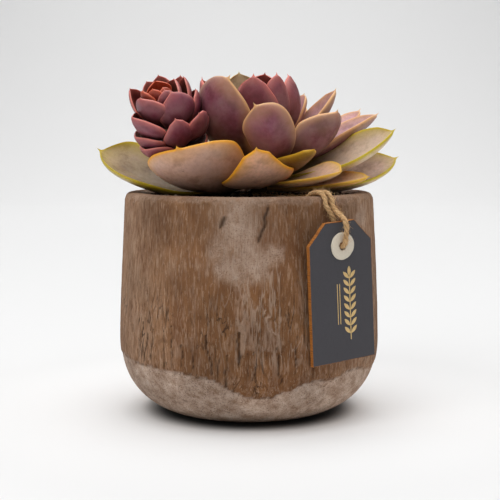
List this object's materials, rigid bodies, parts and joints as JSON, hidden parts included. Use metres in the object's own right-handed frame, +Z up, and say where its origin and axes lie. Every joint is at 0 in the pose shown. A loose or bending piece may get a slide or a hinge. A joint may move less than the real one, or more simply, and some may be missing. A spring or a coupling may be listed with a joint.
{
  "type": "potted succulent",
  "caption": "Rosette succulent with a side rosette, fleshy cupped leaves on a short stem, in soil in a round rustic pot with a swing tag on twine.",
  "frame": {"origin": "middle of the pot's foot, on the face it stands on", "axes": "+Z up; -Y towards the front, where the swing tag hangs to the right; +X to the right"},
  "size_m": [0.1536, 0.1306, 0.17],
  "materials": {
    "pot": "weathered matte",
    "soil": "rough",
    "stem": "matte",
    "outer_leaf": "waxy matte",
    "inner_leaf": "waxy matte",
    "bud_leaf": "waxy matte",
    "board": "painted matte",
    "eyelet": "matte",
    "twine": "fibrous"
  },
  "bodies": {
    "root": {"pot": "pot", "soil": "soil", "main_stem": "stem", "side_stem": "stem", "leaf_front": "outer_leaf", "leaf_back_right_low": "outer_leaf", "leaf_left": "outer_leaf", "leaf_front_right_low": "outer_leaf", "leaf_back_low": "outer_leaf", "leaf_front_left": "outer_leaf", "leaf_front_right": "outer_leaf", "leaf_right_low": "outer_leaf", "leaf_back_left_low": "outer_leaf", "leaf_right": "outer_leaf", "leaf_back_right": "outer_leaf", "leaf_front_small": "outer_leaf", "leaf_back_left": "outer_leaf", "leaf_right_high": "inner_leaf", "leaf_right_far": "outer_leaf", "leaf_inner_front": "inner_leaf", "leaf_inner_right": "inner_leaf", "leaf_inner_front_left": "inner_leaf", "leaf_upper_right": "inner_leaf", "leaf_upper_right_far": "inner_leaf", "leaf_upper_front": "inner_leaf", "leaf_heart_right": "inner_leaf", "leaf_heart_front": "inner_leaf", "leaf_heart_back": "inner_leaf", "leaf_upper_back_left": "inner_leaf", "leaf_mid_back_left": "inner_leaf", "leaf_mid_back": "inner_leaf", "leaf_mid_back_right": "inner_leaf", "leaf_upper_back": "inner_leaf", "leaf_upper_left": "inner_leaf", "side_leaf_skirt_front_left": "bud_leaf", "side_leaf_skirt_back": "bud_leaf", "side_leaf_skirt_right": "bud_leaf", "side_leaf_low_front_left": "bud_leaf", "side_leaf_low_front": "bud_leaf", "side_leaf_low_back_left": "bud_leaf", "side_leaf_low_right": "bud_leaf", "side_leaf_mid_left": "bud_leaf", "side_leaf_mid_back": "bud_leaf", "side_leaf_mid_front": "bud_leaf", "side_leaf_upper_left": "bud_leaf", "side_leaf_upper_back_left": "bud_leaf", "side_leaf_upper_right": "bud_leaf", "side_leaf_inner_right": "bud_leaf", "side_leaf_inner_back_right": "bud_leaf", "side_leaf_inner_back": "bud_leaf", "side_leaf_inner_back_left": "bud_leaf", "side_leaf_heart_left": "bud_leaf", "side_leaf_heart_back": "bud_leaf", "side_leaf_heart_front": "bud_leaf", "side_leaf_heart_right": "bud_leaf", "tag_board": "board", "tag_eyelet": "eyelet", "twine": "twine"}
  },
  "joints": []
}
